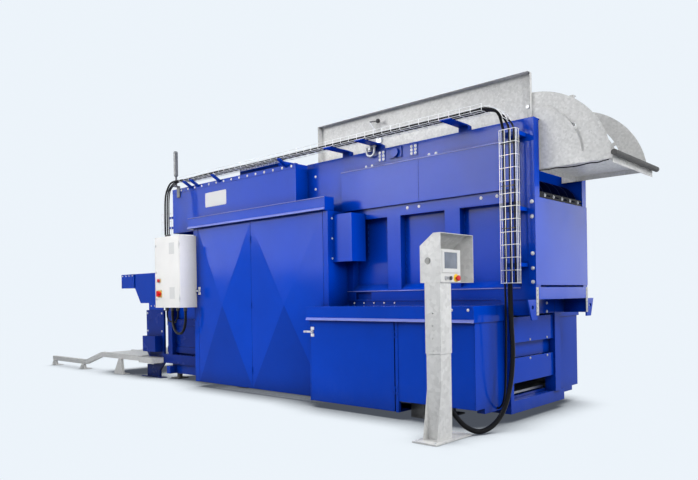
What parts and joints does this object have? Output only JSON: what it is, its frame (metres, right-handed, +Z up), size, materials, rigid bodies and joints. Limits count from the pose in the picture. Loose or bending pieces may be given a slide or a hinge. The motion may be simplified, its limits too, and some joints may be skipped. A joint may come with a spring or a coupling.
{
  "type": "recycling baler",
  "caption": "Horizontal baling press with a blue charging chamber, tilting feed hood, hinged casing doors, grey control cabinet, operator pillar and outfeed rails.",
  "frame": {"origin": "on the floor under the middle of the whole part's box", "axes": "+X along the press channel towards the intake end, +Y away from the operator's side, +Z up"},
  "size_m": [9.1106, 2.513, 2.908],
  "materials": {
    "blue_paint": "semi-gloss ultramarine paint",
    "dark_blue_paint": "semi-gloss dark blue paint",
    "galvanised": "galvanised sheet",
    "zinc": "zinc plated",
    "steel": "bare worn steel",
    "chromed": "hard chromed rod",
    "cylinder_paint": "black paint",
    "cabinet_paint": "light grey textured paint",
    "panel_grey": "fine grained plastic",
    "red_plastic": "glossy red",
    "black_plastic": "fine grained black",
    "mast_grey": "dark grey",
    "rubber": "matt black",
    "cable": "matt black sheath"
  },
  "bodies": {
    "machine": {"base_frame": "blue_paint", "base_feet": "cylinder_paint", "press_channel": "blue_paint", "chamber_base": "blue_paint", "chamber_front": "blue_paint", "chamber_rear": "blue_paint", "cover_panels": "blue_paint", "end_panel": "blue_paint", "intake_fins": "dark_blue_paint", "intake_strips": "galvanised", "end_gussets": "blue_paint", "upper_cabinet": "blue_paint", "door_casing": "blue_paint", "door_fixed": "blue_paint", "door_canopy": "blue_paint", "casing_front": "blue_paint", "casing_rear": "blue_paint", "casing_lids": "blue_paint", "junction_box": "blue_paint", "control_cabinet": "cabinet_paint", "cabinet_glands": "black_plastic", "guard_walls": "galvanised", "hood_pins": "zinc", "signal_mast": "mast_grey", "tray_brackets": "blue_paint", "cable_tray_top": "galvanised", "cable_tray_drops": "galvanised", "tray_cables": "cable", "pillar_post": "galvanised", "ram_cylinders": "cylinder_paint", "flap_bearings": "blue_paint", "outfeed_gate": "dark_blue_paint", "tying_head": "blue_paint", "outfeed_rails": "galvanised", "panel_bolts": "zinc", "pillar_hose": "cable", "drop_cable": "cable", "cabinet_loop_long": "cable", "cabinet_loop_short": "cable"},
    "door": {"door_leaf": "blue_paint"},
    "door_lever": {"door_latch": "zinc"},
    "side_door": {"casing_door": "blue_paint"},
    "side_lever": {"casing_latch": "zinc"},
    "cabinet_leaf": {"cabinet_door": "cabinet_paint"},
    "switch_knob": {"main_switch": "red_plastic"},
    "cabinet_stop": {"cabinet_estop": "red_plastic"},
    "hood": {"feed_hood": "galvanised", "hood_lip": "galvanised", "safety_edge": "rubber", "hood_cable": "cable"},
    "pillar_top": {"pillar_head": "galvanised", "pillar_panel": "panel_grey"},
    "pillar_stop": {"pillar_estop": "red_plastic"},
    "key": {"pillar_key": "zinc"},
    "button": {"pillar_button": "black_plastic"},
    "ram_carriage": {"ram": "steel", "ram_rods": "chromed"},
    "flap": {"press_flap": "steel"},
    "clamp_front": {"side_clamp_front": "steel"},
    "clamp_rear": {"side_clamp_rear": "steel"}
  },
  "joints": [
    {"name": "door_swing", "type": "hinge", "parent": "machine", "child": "door", "pos_m": [0.70922, -0.4875, 0.975], "axis": [0, 0, 1], "range_deg": [0, 105]},
    {"name": "door_lever_turn", "type": "hinge", "parent": "door", "child": "door_lever", "pos_m": [-0.25828, -0.4915, 1.1425], "axis": [0, 1, 0], "range_deg": [0, 90]},
    {"name": "side_door_swing", "type": "hinge", "parent": "machine", "child": "side_door", "pos_m": [2.82172, -0.6575, 0.45], "axis": [0, 0, 1], "range_deg": [0, 100]},
    {"name": "side_lever_turn", "type": "hinge", "parent": "side_door", "child": "side_lever", "pos_m": [1.82972, -0.6615, 0.718], "axis": [0, 1, 0], "range_deg": [0, 90]},
    {"name": "cabinet_door_swing", "type": "hinge", "parent": "machine", "child": "cabinet_leaf", "pos_m": [-0.33328, -0.7175, 1.375], "axis": [0, 0, 1], "range_deg": [0, 110]},
    {"name": "main_switch_turn", "type": "hinge", "parent": "cabinet_leaf", "child": "switch_knob", "pos_m": [-0.76028, -0.7215, 1.116], "axis": [0, 1, 0], "range_deg": [0, 90]},
    {"name": "cabinet_stop_press", "type": "slide", "parent": "cabinet_leaf", "child": "cabinet_stop", "axis": [0, 1, 0], "range_m": [0, 0.005], "stiffness_N_per_m": 800},
    {"name": "hood_tilt", "type": "hinge", "parent": "machine", "child": "hood", "pos_m": [3.79772, 0.2885, 2.104], "axis": [0, -1, 0], "range_deg": [0, 57]},
    {"name": "pillar_height", "type": "slide", "parent": "machine", "child": "pillar_top", "axis": [0, 0, 1], "range_m": [-0.1, 0.15]},
    {"name": "pillar_stop_press", "type": "slide", "parent": "pillar_top", "child": "pillar_stop", "axis": [-1, 0, 0], "range_m": [0, 0.004], "stiffness_N_per_m": 800},
    {"name": "key_turn", "type": "hinge", "parent": "pillar_top", "child": "key", "pos_m": [3.57472, -0.9815, 1.172], "axis": [1, 0, 0], "range_deg": [-45, 45]},
    {"name": "button_press", "type": "slide", "parent": "pillar_top", "child": "button", "axis": [-1, 0, 0], "range_m": [0, 0.004], "stiffness_N_per_m": 500},
    {"name": "ram_slide", "type": "slide", "parent": "machine", "child": "ram_carriage", "axis": [-1, 0, 0], "range_m": [0, 0.7]},
    {"name": "flap_press", "type": "hinge", "parent": "machine", "child": "flap", "pos_m": [2.52772, 0.2885, 2.379], "axis": [0, 1, 0], "range_deg": [0, 75]},
    {"name": "clamp_press", "type": "slide", "parent": "machine", "child": "clamp_front", "axis": [0, 1, 0], "range_m": [0, 0.06]},
    {"name": "clamp_press_rear", "type": "slide", "parent": "machine", "child": "clamp_rear", "axis": [0, -1, 0], "range_m": [0, 0.06]}
  ],
  "couplings": [
    {"joint": "clamp_press_rear", "follows": "clamp_press", "ratio": 1}
  ]
}
